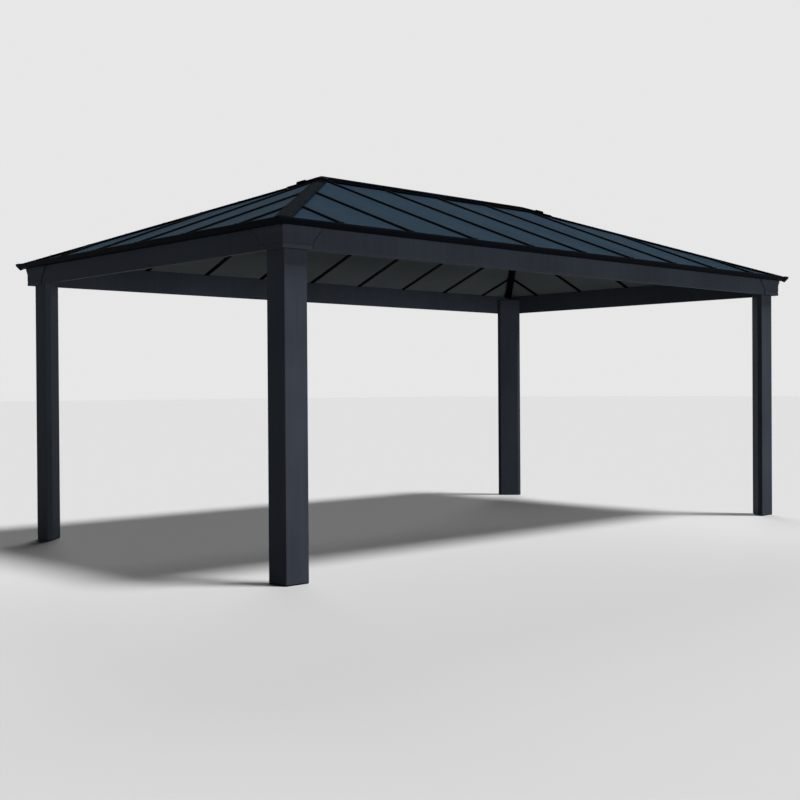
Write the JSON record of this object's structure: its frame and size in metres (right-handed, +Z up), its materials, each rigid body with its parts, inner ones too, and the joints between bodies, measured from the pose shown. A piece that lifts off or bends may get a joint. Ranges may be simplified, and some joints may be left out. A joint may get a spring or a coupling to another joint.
{
  "type": "metal gazebo",
  "caption": "Open-sided garden gazebo with three-sided metal posts, a beam frame and a hipped sheet-metal roof with a vented ridge.",
  "frame": {"origin": "centre of the base, on the ground midway between the four posts", "axes": "+X along the long side and the ridge, +Y across the short side, +Z up"},
  "size_m": [6.0586, 3.5786, 2.9625],
  "materials": {
    "frame_coat": "anthracite powder coat, satin",
    "black_trim": "near-black powder coat, satin",
    "black_rafter": "black powder coat, satin",
    "textured_cap": "dark grey fine-textured coat on folded steel",
    "roof_sheet": "satin metallic coat on galvanised sheet, finely lined down the slope",
    "foot_steel": "black coated steel plate"
  },
  "bodies": {
    "root": {"beam_back": "frame_coat", "beam_front": "frame_coat", "beam_left": "frame_coat", "beam_right": "frame_coat", "corner_cover_back_left": "frame_coat", "corner_cover_back_right": "frame_coat", "corner_cover_front_left": "frame_coat", "corner_cover_front_right": "frame_coat", "gutter_back": "black_trim", "gutter_caps": "black_trim", "gutter_front": "black_trim", "gutter_left": "black_trim", "gutter_right": "black_trim", "hip_cap_back_left": "textured_cap", "hip_cap_back_right": "textured_cap", "hip_cap_front_left": "textured_cap", "hip_cap_front_right": "textured_cap", "hip_rafter_back_left": "black_rafter", "hip_rafter_back_right": "black_rafter", "hip_rafter_front_left": "black_rafter", "hip_rafter_front_right": "black_rafter", "post_back_left": "frame_coat", "post_back_right": "frame_coat", "post_feet": "foot_steel", "post_front_left": "frame_coat", "post_front_right": "frame_coat", "rafters_back": "black_rafter", "rafters_front": "black_rafter", "rafters_left": "black_rafter", "rafters_right": "black_rafter", "ribs_back": "black_trim", "ribs_front": "black_trim", "ribs_left": "black_trim", "ribs_right": "black_trim", "ridge_beam": "black_rafter", "ridge_connector": "textured_cap", "ridge_end_left": "textured_cap", "ridge_end_right": "textured_cap", "ridge_vent_left": "textured_cap", "ridge_vent_right": "textured_cap", "roof_sheets_back": "roof_sheet", "roof_sheets_front": "roof_sheet", "roof_sheets_left": "roof_sheet", "roof_sheets_right": "roof_sheet"}
  },
  "joints": []
}
